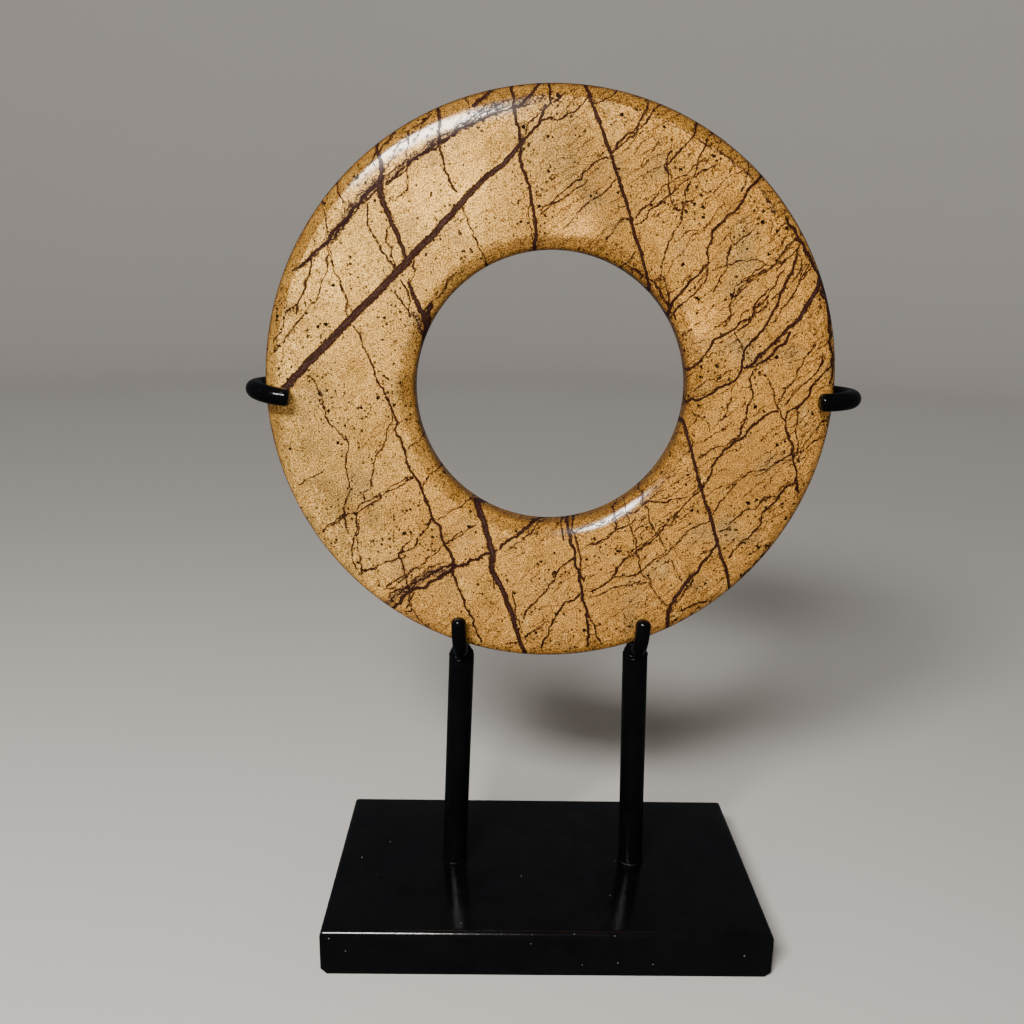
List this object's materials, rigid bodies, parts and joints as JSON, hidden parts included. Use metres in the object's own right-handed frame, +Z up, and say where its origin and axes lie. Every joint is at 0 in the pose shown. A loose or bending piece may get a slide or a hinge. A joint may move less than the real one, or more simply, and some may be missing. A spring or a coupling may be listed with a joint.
{
  "type": "stone ring on stand",
  "caption": "Polished veined stone ring standing on edge in a black metal stand: a box base, round posts and rods that hook the rim.",
  "frame": {"origin": "on the surface the stand rests on, under the middle of the box base", "axes": "+Z up, -Y towards the viewer who sees the ring's front face, +X to that viewer's right"},
  "size_m": [0.2737, 0.113, 0.387],
  "materials": {
    "veined_stone": "polished honey-tan stone with maroon veins",
    "black_enamel": "glossy black enamel on steel"
  },
  "bodies": {
    "root": {"stone_ring": "veined_stone", "base": "black_enamel", "post_left": "black_enamel", "post_right": "black_enamel", "lower_hook_left": "black_enamel", "lower_hook_right": "black_enamel", "back_yoke": "black_enamel"}
  },
  "joints": []
}
